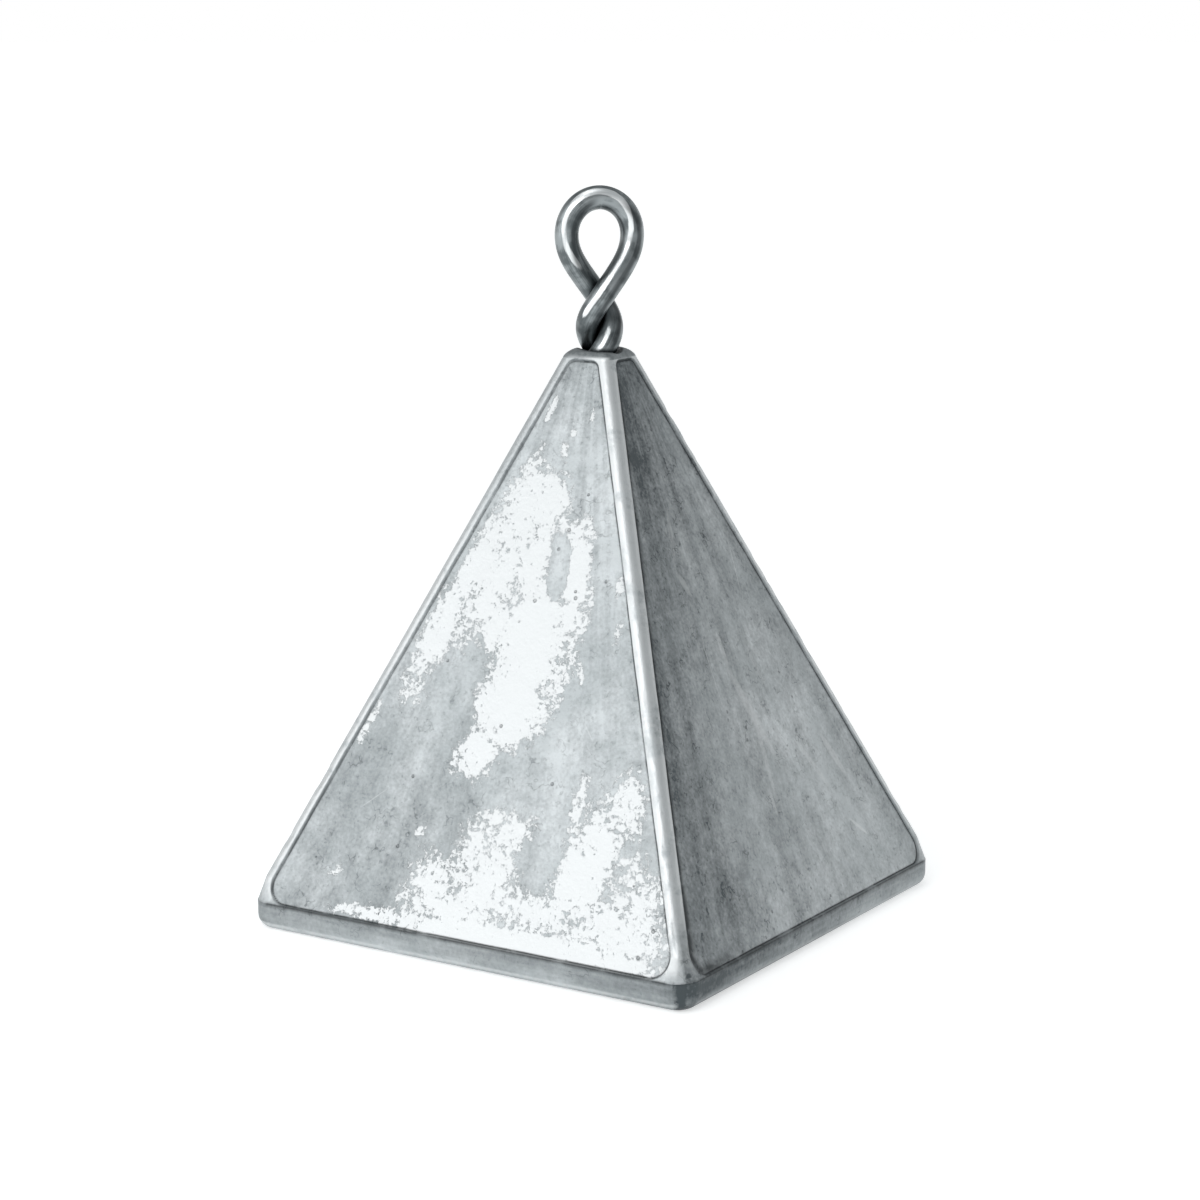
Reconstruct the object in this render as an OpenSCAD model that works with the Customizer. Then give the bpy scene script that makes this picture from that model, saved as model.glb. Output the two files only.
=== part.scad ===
// Pyramid fishing sinker: a square lead casting with a twisted wire eye cast into its top.
// Millimetres, +Z up. The origin is the middle of the flat base that it stands on.
// The nominal sizes give a casting of about 15 cubic centimetres, a 6 ounce (170 g) weight.

/* [Casting] */
// Width of the base across its flat sides
base_w = 32.4; // [26:0.1:42]
// Height of the casting from its base to its flat top
cast_h = 36.55; // [30:0.05:50]
// Height of the upright band round the base
band_h = 1.8; // [1:0.05:3]
// Width between opposite faces where their planes meet the flat top
top_w = 3.25; // [3:0.05:5]
// Radius of the casting's slanted edges, seen from above
edge_r = 0.7; // [0.4:0.05:1.2]
// Radius of the band's upright corners
corner_r = 1.5; // [1:0.05:3]
// Radius of the edge between the band and the base
foot_r = 0.9; // [0.3:0.05:0.95]
// Radius of the shoulder between the faces and the flat top
shoulder_r = 1; // [0.8:0.05:1.6]

/* [Face panels] */
// Depth that the flat panel on each face is sunk below the border round it
panel_depth = 0.12; // [0.05:0.01:0.3]
// Width of the border between a panel's side and the rounding of the slanted edge
panel_side_lip = 0.12; // [0.05:0.01:0.4]
// Width of the border between a panel's foot and the band
panel_foot_lip = 0.05; // [0.05:0.01:0.6]
// Radius of a panel's two lower corners
panel_low_r = 1.3; // [0.8:0.05:2]
// Radius of a panel's two upper corners
panel_top_r = 0.65; // [0.3:0.05:0.8]

/* [Wire eye] */
// Thickness of the wire
wire_d = 1.5; // [1.2:0.05:1.7]
// Clear width inside the eye
eye_inside_w = 2.7; // [2.2:0.05:4]
// Height of the eye's top above the flat top of the casting
eye_h = 10.1; // [9.3:0.05:13]
// Height of the eye's round crown, from its widest point to the middle of the wire at its top
crown_h = 2.3; // [1.8:0.05:3]
// Height of the crossing that closes the eye, above the flat top of the casting
crossing_h = 3.2; // [3:0.05:4.2]
// Height of one full turn of the twist
twist_pitch = 6.9; // [6:0.1:9]
// Gap between the two strands of the twist
strand_gap = 0.08; // [0.05:0.01:0.2]

/* [Anchor in the lead] */
// Turns of the twist, counted down from the crossing
twist_turns = 1.25; // [1:0.05:1.5]
// Depth of the wire's two feet below the flat top of the casting
anchor_depth = 10; // [8.5:0.1:12]
// Reach of each foot from the middle of the casting to the cut end of the wire
foot_reach = 4.6; // [4:0.1:5]
// Length of the straight end of each foot
foot_length = 1.2; // [0.5:0.1:1.5]

/* [Recess round the wire] */
// Depth of the recess that the lead left round the wire as it cooled
recess_depth = 0.55; // [0.3:0.05:1]
// Gap between the twist and the recess at the recess's two ends
recess_end_gap = 0.2; // [0.1:0.05:0.4]
// Gap between a strand and the recess at the recess's two sides
recess_side_gap = 0.5; // [0.3:0.05:0.7]

/* [Hidden] */

// Steps that the round stretches are drawn with
corner_steps = 8;
foot_steps = 4;
shoulder_steps = 5;
panel_steps = 6;
wire_sides = 16;
crown_steps = 9;
leg_steps = 11;
turn_steps = 22;
splay_steps = 9;
recess_steps = 36;

// Angle of the mould's parting plane, through the corners at the two sides of the eye
parting_angle = 45;
// Overrun of a cut past the surface that it opens
overrun = 0.5;

// Slope of the four faces, as the angle that they lean in from upright
lean = atan((base_w - top_w) / 2 / (cast_h - band_h));
// Height over which the band's corner radius runs out into that of the slanted edge
corner_run = corner_r;
// Middle of the shoulder's arc: its height, and its distance from the casting's axis
shoulder_z = cast_h - shoulder_r;
shoulder_x = face_x(shoulder_z) - shoulder_r / cos(lean);
// Height at which the faces run out into the shoulder
face_top_z = shoulder_z + shoulder_r * sin(lean);

// Distance of a face's plane from the casting's axis at height z
function face_x(z) = base_w / 2 - (z - band_h) * tan(lean);

// Cross-sections of the casting from the base up, each as height, half width and corner radius
foot_sections = [
    for (i = [0 : foot_steps])
        let (a = 90 * i / foot_steps, inset = foot_r * (1 - sin(a)))
        [foot_r * (1 - cos(a)), base_w / 2 - inset, corner_r - inset]
];
face_sections = [
    [band_h, base_w / 2, corner_r],
    [band_h + corner_run, face_x(band_h + corner_run), edge_r]
];
shoulder_sections = [
    for (i = [0 : shoulder_steps])
        let (a = lean + (90 - lean) * i / shoulder_steps, half = shoulder_x + shoulder_r * cos(a))
        [shoulder_z + shoulder_r * sin(a), half, min(edge_r, half)]
];
sections = concat(foot_sections, face_sections, shoulder_sections);

// One cross-section as points: a square with rounded corners, counter-clockwise from above
function section_points(s) = [
    for (k = [0 : 3], i = [0 : corner_steps])
        let (a = 90 * k + 90 * i / corner_steps, mid = s[1] - s[2])
        [
            mid * (k == 0 || k == 3 ? 1 : -1) + s[2] * cos(a),
            mid * (k < 2 ? 1 : -1) + s[2] * sin(a),
            s[0]
        ]
];

// Faces of a closed skin over rings of n points each, all listed the same way round
function skin_faces(rings, n) = concat(
    [[for (i = [0 : n - 1]) i]],
    [
        for (r = [0 : rings - 2], i = [0 : n - 1])
            let (a = r * n + i, b = r * n + (i + 1) % n)
            each [[a, a + n, b], [b, a + n, b + n]]
    ],
    [[for (i = [n - 1 : -1 : 0]) (rings - 1) * n + i]]
);

// The casting's outer form, before its panels, recess and the wire's space are taken out
module casting() {
    polyhedron(
        points = [for (s = sections) each section_points(s)],
        faces = skin_faces(len(sections), 4 * (corner_steps + 1)),
        convexity = 4
    );
}

// Points of an arc that rounds corner p, between its neighbours before and after, with radius r
function rounded_corner(before, p, after, r, steps) =
    let (
        u = (before - p) / norm(before - p),
        v = (after - p) / norm(after - p),
        half = acos(u * v) / 2,
        mid = p + (u + v) / norm(u + v) * r / sin(half),
        first = p + u * r / tan(half) - mid,
        last = p + v * r / tan(half) - mid
    )
    [
        for (i = [0 : steps])
            let (t = i / steps, sweep = 180 - 2 * half)
            mid + (sin((1 - t) * sweep) * first + sin(t * sweep) * last) / sin(sweep)
    ];

// A panel's outline on its face: x across, y up the slope from the band
panel_margin = edge_r + panel_side_lip;
panel_top_y = (face_top_z - band_h) / cos(lean);
function panel_x(y) = face_x(band_h + y * cos(lean)) - panel_margin;
panel_corners = [
    [-panel_x(panel_foot_lip), panel_foot_lip],
    [panel_x(panel_foot_lip), panel_foot_lip],
    [panel_x(panel_top_y), panel_top_y],
    [-panel_x(panel_top_y), panel_top_y]
];
panel_radii = [panel_low_r, panel_low_r, panel_top_r, panel_top_r];
panel_points = [
    for (i = [0 : 3])
        each rounded_corner(panel_corners[(i + 3) % 4], panel_corners[i], panel_corners[(i + 1) % 4],
                            panel_radii[i], panel_steps)
];

// The space above one sunk panel, on the face towards -Y
module panel_space() {
    translate([0, -base_w / 2, band_h])
        rotate([90 - lean, 0, 0])
            translate([0, 0, -panel_depth])
                linear_extrude(panel_depth + overrun)
                    polygon(panel_points);
}

// Distance of each strand's middle from the axis of the twist
strand_r = (wire_d + strand_gap) / 2;
// Distance of the eye's two sides from its middle
eye_r = (eye_inside_w + wire_d) / 2;
// Heights along the wire above the flat top: the crown's top, the eye's widest point
crown_z = eye_h - wire_d / 2;
widest_z = crown_z - crown_h;
// Turn angle of the first strand at a height above the flat top: it passes in front at the crossing
function turn(z) = -90 + 360 * (z - crossing_h) / twist_pitch;
// Angle at which the two strands lie side by side where they leave the lead
recess_angle = parting_angle + turn(0) - 90;
// Height at which the twist ends in the lead and the feet begin
splay_z = crossing_h - twist_turns * twist_pitch;
splay_angle = turn(splay_z);

// A point of the twist, and the twist's own direction there going down
function twist_point(z) = [strand_r * cos(turn(z)), strand_r * sin(turn(z)), z];
function twist_down(z) =
    let (v = [strand_r * sin(turn(z)), -strand_r * cos(turn(z)), -twist_pitch / (2 * PI)])
    v / norm(v);

// A point at share t along a cubic curve
function curve(a, b, c, d, t) =
    pow(1 - t, 3) * a + 3 * pow(1 - t, 2) * t * b + 3 * (1 - t) * t * t * c + pow(t, 3) * d;

// The wire's middle from the crown's top down one strand to the cut end of its foot
leg_drop = widest_z - crossing_h;
leg_handle_shares = [0.36, 0.5];
widest_point = [eye_r, 0, widest_z];
crossing_point = twist_point(crossing_h);
splay_out = [cos(splay_angle), sin(splay_angle), 0];
splay_start = twist_point(splay_z);
splay_drop = anchor_depth + splay_z;
splay_handle_shares = [0.5, 0.55];
foot_end = foot_reach * splay_out - [0, 0, anchor_depth];
foot_start = foot_end - foot_length * splay_out;
strand = concat(
    [
        for (i = [0 : crown_steps])
            let (a = 90 * i / crown_steps)
            [eye_r * sin(a), 0, widest_z + crown_h * cos(a)]
    ],
    [
        for (i = [1 : leg_steps])
            curve(
                widest_point,
                widest_point - [0, 0, leg_drop * leg_handle_shares[0]],
                crossing_point - twist_down(crossing_h) * leg_drop * leg_handle_shares[1],
                crossing_point,
                i / leg_steps
            )
    ],
    [
        for (i = [1 : ceil(turn_steps * twist_turns)])
            twist_point(crossing_h - twist_turns * twist_pitch * i / ceil(turn_steps * twist_turns))
    ],
    [
        for (i = [1 : splay_steps])
            curve(
                splay_start,
                splay_start + twist_down(splay_z) * splay_drop * splay_handle_shares[0],
                foot_start - splay_out * splay_drop * splay_handle_shares[1],
                foot_start,
                i / splay_steps
            )
    ],
    [foot_end]
);

// The whole wire: the second strand is the first turned half round the axis
function half_turned(p) = [-p[0], -p[1], p[2]];
wire_path = concat([for (i = [len(strand) - 1 : -1 : 1]) half_turned(strand[i])], strand);

// Directions along the wire, and across it without twisting the section
path_last = len(wire_path) - 1;
along = [
    for (i = [0 : path_last])
        let (v = wire_path[min(i + 1, path_last)] - wire_path[max(i - 1, 0)])
        v / norm(v)
];
function square_to(v, axis) =
    let (w = v - (v * axis) * axis)
    w / norm(w);
across = [
    for (i = 0, v = square_to([0, 0, 1], along[0]); i <= path_last;
         i = i + 1, v = square_to(v, along[min(i, path_last)]))
        v
];
wire_points = [
    for (i = [0 : path_last], k = [0 : wire_sides - 1])
        let (a = 360 * k / wire_sides)
        wire_path[i] + wire_d / 2 * (cos(a) * across[i] + sin(a) * cross(along[i], across[i]))
];

// The bent wire, also the shape of the space that it fills in the lead
module bent_wire() {
    translate([0, 0, cast_h])
        rotate(parting_angle)
            polyhedron(points = wire_points, faces = skin_faces(path_last + 1, wire_sides), convexity = 8);
}

// Least gap between the two strands, measured from middle to middle below the crown
strand_lower = [for (i = [crown_steps : len(strand) - 1]) strand[i]];
least_gap = min([for (p = strand_lower, q = strand_lower) norm(p - half_turned(q))]) - wire_d;
echo(least_gap_between_the_strands = least_gap);

// The recess round the wire, an oval as long as the two strands side by side
recess_rx = wire_d / 2 + recess_side_gap;
recess_ry = strand_r + wire_d / 2 + recess_end_gap;
module recess_space() {
    translate([0, 0, cast_h - recess_depth])
        rotate(recess_angle)
            linear_extrude(recess_depth + overrun)
                polygon([
                    for (i = [0 : recess_steps - 1])
                        let (a = 360 * i / recess_steps)
                        [recess_rx * cos(a), recess_ry * sin(a)]
                ]);
}

module lead_body() {
    color("#9aa2a6")
        difference() {
            casting();
            for (k = [0 : 3])
                rotate(90 * k)
                    panel_space();
            recess_space();
            bent_wire();
        }
}

module wire_eye() {
    color("#b9bfc0")
        bent_wire();
}

lead_body();
wire_eye();
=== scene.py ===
import math
import random
import bpy
from mathutils import Matrix, Vector, noise


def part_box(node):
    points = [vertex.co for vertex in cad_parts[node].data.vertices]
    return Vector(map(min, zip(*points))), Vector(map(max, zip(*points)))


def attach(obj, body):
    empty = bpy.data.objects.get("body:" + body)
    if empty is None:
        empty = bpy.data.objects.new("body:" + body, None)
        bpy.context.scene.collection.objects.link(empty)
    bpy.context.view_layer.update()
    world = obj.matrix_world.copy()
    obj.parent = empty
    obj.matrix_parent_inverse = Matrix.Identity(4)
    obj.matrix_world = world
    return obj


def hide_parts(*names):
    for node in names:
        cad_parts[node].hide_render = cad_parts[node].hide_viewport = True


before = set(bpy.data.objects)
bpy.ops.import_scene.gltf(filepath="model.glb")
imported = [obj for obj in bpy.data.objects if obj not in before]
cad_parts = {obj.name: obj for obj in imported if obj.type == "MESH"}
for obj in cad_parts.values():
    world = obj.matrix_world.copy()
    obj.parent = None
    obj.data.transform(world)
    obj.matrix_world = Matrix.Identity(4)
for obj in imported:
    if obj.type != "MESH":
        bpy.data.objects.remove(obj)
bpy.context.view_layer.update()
print("frame loaded")

mm = 0.001
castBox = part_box("lead_body")
castHeight = castBox[1][2] / mm


# Small helpers

def smooth(low, high, value):
    t = min(1.0, max(0.0, (value - low) / (high - low)))
    return t * t * (3 - 2 * t)


def lerp(a, b, t):
    return a + (b - a) * t


def spread(start, end, step):
    # evenly spaced values from start to end, about a step apart
    count = max(1, round(abs(end - start) / step))
    return [lerp(start, end, i / count) for i in range(count + 1)]


def facing(azimuth, elevation):
    # the way of an azimuth, counted from -Y towards +X, and an elevation
    a, e = math.radians(azimuth), math.radians(elevation)
    return Vector((math.sin(a) * math.cos(e), -math.cos(a) * math.cos(e), math.sin(e)))


def linearColour(hexText):
    # sRGB hex to the linear values that the shaders want
    parts = [int(hexText[i:i + 2], 16) / 255 for i in (1, 3, 5)]
    linear = [c / 12.92 if c <= 0.04045 else ((c + 0.055) / 1.055) ** 2.4 for c in parts]
    return (*linear, 1.0)


def addNode(tree, kind, inputs=None, output=0, **settings):
    # one node with its settings, as its output socket; an input is a value, or a socket to link from
    node = tree.nodes.new("ShaderNode" + kind)
    for name, value in settings.items():
        setattr(node, name, value)
    for name, value in (inputs or {}).items():
        if isinstance(value, bpy.types.NodeSocket):
            tree.links.new(value, node.inputs[name])
        else:
            node.inputs[name].default_value = value
    return node.outputs[output] if node.outputs else None


def meshObject(name, points, faces, attributes, uv=None):
    # a smooth mesh in metres from points in millimetres, with one float attribute per name
    mesh = bpy.data.meshes.new(name)
    mesh.from_pydata([tuple(c * mm for c in p) for p in points], [], faces)
    mesh.update()
    mesh.polygons.foreach_set("use_smooth", [True] * len(mesh.polygons))
    for label, values in attributes.items():
        mesh.attributes.new(label, "FLOAT", "POINT").data.foreach_set("value", values)
    if uv:
        layer = mesh.uv_layers.new(name="along")
        for loop in mesh.loops:
            layer.data[loop.index].uv = uv[loop.vertex_index]
    obj = bpy.data.objects.new(name, mesh)
    bpy.context.collection.objects.link(obj)
    return obj


# Camera, at the photograph's place: six base widths away, a little above the base

view = {
    # degrees and mm
    "azimuth": 32.34,
    "elevation": 17.08,
    "distance": 194.4,
    "aim": (0.03, 0.02, 20.27),
    "lens": 88.7,
    "sensorWidth": 36,
    "clipStart": 5,
}


def makeCamera():
    aim = Vector(view["aim"]) * mm
    place = facing(view["azimuth"], view["elevation"]) * view["distance"] * mm
    data = bpy.data.cameras.new("camera")
    data.lens = view["lens"]
    data.sensor_width = view["sensorWidth"]
    data.sensor_fit = "HORIZONTAL"
    data.clip_start = view["clipStart"] * mm
    camera = bpy.data.objects.new("camera", data)
    camera.location = place
    camera.rotation_euler = (aim - place).to_track_quat("-Z", "Y").to_euler()
    bpy.context.collection.objects.link(camera)
    bpy.context.scene.camera = camera


makeCamera()
print("camera placed")


# Wire eye

wire = {
    # sizes in mm
    "diameter": 1.5,
    "insideWidth": 2.7,
    "height": 10.1,
    "crownHeight": 2.3,
    "crossingHeight": 3.2,
    "pitch": 6.9,
    "turns": 1.25,
    "anchorDepth": 10.0,
    "footReach": 4.6,
    "footLength": 1.2,
    "legHandles": (0.36, 0.5),
    "splayHandles": (0.5, 0.55),
    "partingAngle": 45,
    # the drawn strands press together by this much, where the solid model keeps them apart
    "press": 0.005,
    "sides": 36,
    "steps": {"crown": 30, "leg": 40, "twist": 90, "splay": 24},
    # the cut end's edge is broken a little: how far in its last rings lie, and how much thinner they are
    "endInsets": (0.08, 0.02, 0.0),
    "endThinning": (0.0, 0.03, 0.12),
    # ways that the wire's two painted highlight lines and its side of painted shade face, as azimuth and
    # elevation
    "highlightWays": ((22, 32), (202, 32)),
    "shadedWay": (122, -14),
    # turn from those ways to the side on which the twist's strands carry the painted highlight
    "highlightTurn": 26,
    # how much less painted highlight a leg or strand gets that lies behind, and how much more the crown
    # gets
    "highlightLess": 0.09,
    "crownMore": 0.03,
    # shares of painted shade: on the side turned from the lamps (the stain), on the strand behind, and
    # inside the eye, where the wire runs along the shaded way and where it runs across it
    "stain": 0.8,
    "behind": 0.5,
    "inside": (0.66, 0.4),
    # gaps between the strands where grime and painted shade start and are full, its height over the
    # casting, and the heights there between which the foot is painted dark, as shade in the recess
    "creviceGap": (0.4, 0.04),
    "creviceHeight": 6.4,
    "footShade": (0.16, -0.1),
}
strandRadius = wire["diameter"] / 2 - wire["press"]


def squareTo(way, ahead):
    # the part of a way that is square to the wire
    return (way - ahead * way.dot(ahead)).normalized()


def wireTurn(z):
    return math.radians(-90 + 360 * (z - wire["crossingHeight"]) / wire["pitch"])


def twistPoint(z):
    return Vector((strandRadius * math.cos(wireTurn(z)), strandRadius * math.sin(wireTurn(z)), z))


def twistDown(z):
    return Vector((strandRadius * math.sin(wireTurn(z)), -strandRadius * math.cos(wireTurn(z)),
                   -wire["pitch"] / (2 * math.pi))).normalized()


def curvePoint(a, b, c, d, t):
    return (1 - t) ** 3 * a + 3 * (1 - t) ** 2 * t * b + 3 * (1 - t) * t * t * c + t ** 3 * d


def strandPath():
    # from the crown down one strand to the cut end of its foot, heights from the casting's top
    crownZ = wire["height"] - wire["diameter"] / 2
    widestZ = crownZ - wire["crownHeight"]
    side = (wire["insideWidth"] + wire["diameter"]) / 2
    crossZ = wire["crossingHeight"]
    endZ = crossZ - wire["turns"] * wire["pitch"]
    crown, leg, twist, splay = (wire["steps"][name] for name in ("crown", "leg", "twist", "splay"))
    path = []
    for i in range(crown + 1):
        turn = math.radians(90 * i / crown)
        path.append(Vector((side * math.sin(turn), 0, widestZ + wire["crownHeight"] * math.cos(turn))))
    widest, cross = path[-1], twistPoint(crossZ)
    drop = widestZ - crossZ
    handles = [widest - Vector((0, 0, drop * wire["legHandles"][0])),
               cross - twistDown(crossZ) * drop * wire["legHandles"][1]]
    path += [curvePoint(widest, *handles, cross, i / leg) for i in range(1, leg + 1)]
    path += [twistPoint(lerp(crossZ, endZ, i / twist)) for i in range(1, twist + 1)]
    out = Vector((math.cos(wireTurn(endZ)), math.sin(wireTurn(endZ)), 0))
    fall = wire["anchorDepth"] + endZ
    footEnd = out * wire["footReach"] - Vector((0, 0, wire["anchorDepth"]))
    footStart = footEnd - out * wire["footLength"]
    start = path[-1]
    handles = [start + twistDown(endZ) * fall * wire["splayHandles"][0],
               footStart - out * fall * wire["splayHandles"][1]]
    path += [curvePoint(start, *handles, footStart, i / splay) for i in range(1, splay + 1)]
    path += [footEnd - out * inset for inset in wire["endInsets"]]
    return path


def makeWire():
    strand = strandPath()
    mirrored = [Vector((-p.x, -p.y, p.z)) for p in strand]
    path = list(reversed(mirrored[1:])) + strand
    crossTop = castHeight + wire["crossingHeight"]
    turnAll = Matrix.Rotation(math.radians(wire["partingAngle"]), 3, "Z")
    lift = Vector((0, 0, castHeight))
    path = [turnAll @ p + lift for p in path]
    other = [turnAll @ p + lift for p in mirrored]
    first = [turnAll @ p + lift for p in strand]
    count = len(path)
    length = 0.0
    across = Vector((0, 0, 1))
    highlightDirs = [facing(*w) for w in wire["highlightWays"]]
    strandWays = [facing(w[0] + wire["highlightTurn"], 0) for w in wire["highlightWays"]]
    legWays = [facing(wire["partingAngle"] + turn, 0) for turn in (0, 180)]
    shadeWay = facing(*wire["shadedWay"])
    eyeZ = castHeight + wire["height"] - wire["diameter"] / 2 - wire["crownHeight"]
    points, grimeAndShade, rubbed, uv = [], [], [], []
    for i, p in enumerate(path):
        ahead = (path[min(i + 1, count - 1)] - path[max(i - 1, 0)]).normalized()
        across = (across - ahead * across.dot(ahead)).normalized()
        up = ahead.cross(across)
        if i:
            length += (p - path[i - 1]).length
        mate = other if i >= len(strand) - 1 else first
        fromEnd = min(i, count - 1 - i, 2)
        radius = wire["diameter"] / 2 * (1 - wire["endThinning"][2 - fromEnd])
        # the other strand's part that is near enough for grime and painted shade between the strands
        near = [q for q in mate if abs(q.z - p.z) < 1.4 and abs(q.z - castHeight) < 7]
        # the side of the wire that faces the middle of the eye, painted darker as shade
        middle = Vector((0, 0, max(p.z, eyeZ)))
        inward = squareTo(middle - p, ahead) * smooth(crossTop, crossTop + 1.0, p.z)
        # in the twist only the strand that stands out to that side gets the painted highlight, and the
        # other is dull, as is the leg that passes behind at the crossing; near the casting the dull strand
        # also gets painted shade
        twisted = smooth(crossTop + 0.5, crossTop - 0.5, p.z)
        level = Vector((p.x, p.y, 0)) / strandRadius
        crowned = wire["crownMore"] * smooth(eyeZ + 1.0, eyeZ + 2.2, p.z)
        standsOut = [lerp(smooth(-0.85, -0.4, level.dot(leg)), smooth(0.1, 0.7, level.dot(w)), twisted)
                     for leg, w in zip(legWays, strandWays)]
        # the painted shade on the wire's side ends where the wire runs along its way
        sideways = smooth(0.3, 0.75, (shadeWay - ahead * shadeWay.dot(ahead)).length)
        shaded = wire["behind"] * (1 - max(standsOut)) * smooth(castHeight + 2.8, castHeight + 1.2, p.z)
        insideShare = lerp(*wire["inside"], sideways)
        for k in range(wire["sides"]):
            turn = 2 * math.pi * k / wire["sides"]
            out = across * math.cos(turn) + up * math.sin(turn)
            spot = p + out * radius
            gap = min([(spot - q).length for q in near], default=9.0) - wire["diameter"] / 2
            points.append(spot)
            dirtAndShade = smooth(*wire["creviceGap"], gap) if p.z < castHeight + wire["creviceHeight"] else 0.0
            dirtAndShade = max(dirtAndShade, shaded, smooth(*wire["footShade"], spot.z - castHeight))
            # the painted shade on that side is lighter again along its middle
            side = out.dot(squareTo(shadeWay, ahead))
            stain = smooth(0.15, 0.55, side) * (1 - 0.85 * smooth(0.7, 0.88, side))
            stain *= wire["stain"] * sideways
            inner = insideShare * smooth(lerp(0.3, 0.6, sideways), 1.0, out.dot(inward))
            grimeAndShade.append(max(dirtAndShade, stain, inner))
            # the rubbed value is a painted highlight line: high where the wire faces one of the highlight
            # ways
            rubbed.append(max(out.dot(squareTo(w, ahead)) + crowned - wire["highlightLess"] * (1 - share)
                              for w, share in zip(highlightDirs, standsOut)))
            uv.append((k / wire["sides"], length))
    sides = wire["sides"]
    faces = []
    for r in range(count - 1):
        a, b = r * sides, (r + 1) * sides
        faces += [(a + k, a + (k + 1) % sides, b + (k + 1) % sides, b + k) for k in range(sides)]
    faces.append(tuple(reversed(range(sides))))
    faces.append(tuple((count - 1) * sides + k for k in range(sides)))
    return meshObject("wireEye", points, faces, {"grimeAndShade": grimeAndShade, "rubbed": rubbed}, uv)


wireEye = makeWire()
print("wire made,", len(wireEye.data.vertices), "points")


# Lead casting

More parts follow.
